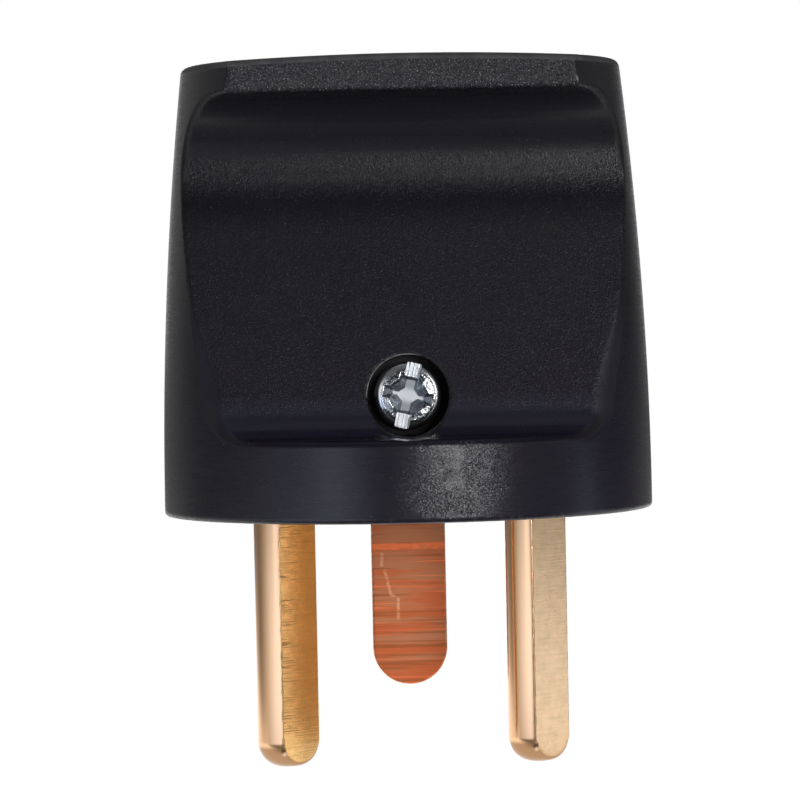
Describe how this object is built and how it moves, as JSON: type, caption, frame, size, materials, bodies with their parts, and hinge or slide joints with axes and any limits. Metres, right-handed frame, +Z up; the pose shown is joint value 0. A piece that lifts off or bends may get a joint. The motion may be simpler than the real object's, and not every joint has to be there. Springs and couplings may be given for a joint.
{
  "type": "rewirable mains plug",
  "caption": "Black rewirable mains plug with a waisted finger-grip cover, flattened brass line pins, a half-round copper-alloy earth pin and a sunk cover screw in front.",
  "frame": {"origin": "middle of the engagement face, the flat underside that meets the socket", "axes": "+Z up through the cover to the cord inlet, pins along -Z, -Y out of the front with the cover screw, +X to the right seen from the front"},
  "size_m": [0.0374, 0.0374, 0.0536],
  "materials": {
    "black_moulding": "black moulded thermoplastic, spark-eroded grain on the gripped faces, satin sides",
    "black_insert": "black moulded thermoplastic, plain",
    "brass": "drawn brass, polished round, milled flats",
    "copper_alloy": "copper alloy, drawn, flat side brushed across",
    "zinc_steel": "zinc-plated steel"
  },
  "bodies": {
    "root": {"cover": "black_moulding", "base_insert": "black_insert", "line_pin": "brass", "neutral_pin": "brass", "earth_pin": "copper_alloy", "line_terminal_screw": "zinc_steel", "neutral_terminal_screw": "zinc_steel", "earth_terminal_screw": "zinc_steel", "pin_retainer": "black_insert", "retainer_screw_left": "zinc_steel", "retainer_screw_right": "zinc_steel", "cord_clamp_bar": "black_insert", "clamp_screw_left": "zinc_steel", "clamp_screw_right": "zinc_steel", "cover_screw": "zinc_steel", "cover_nut": "zinc_steel"}
  },
  "joints": []
}
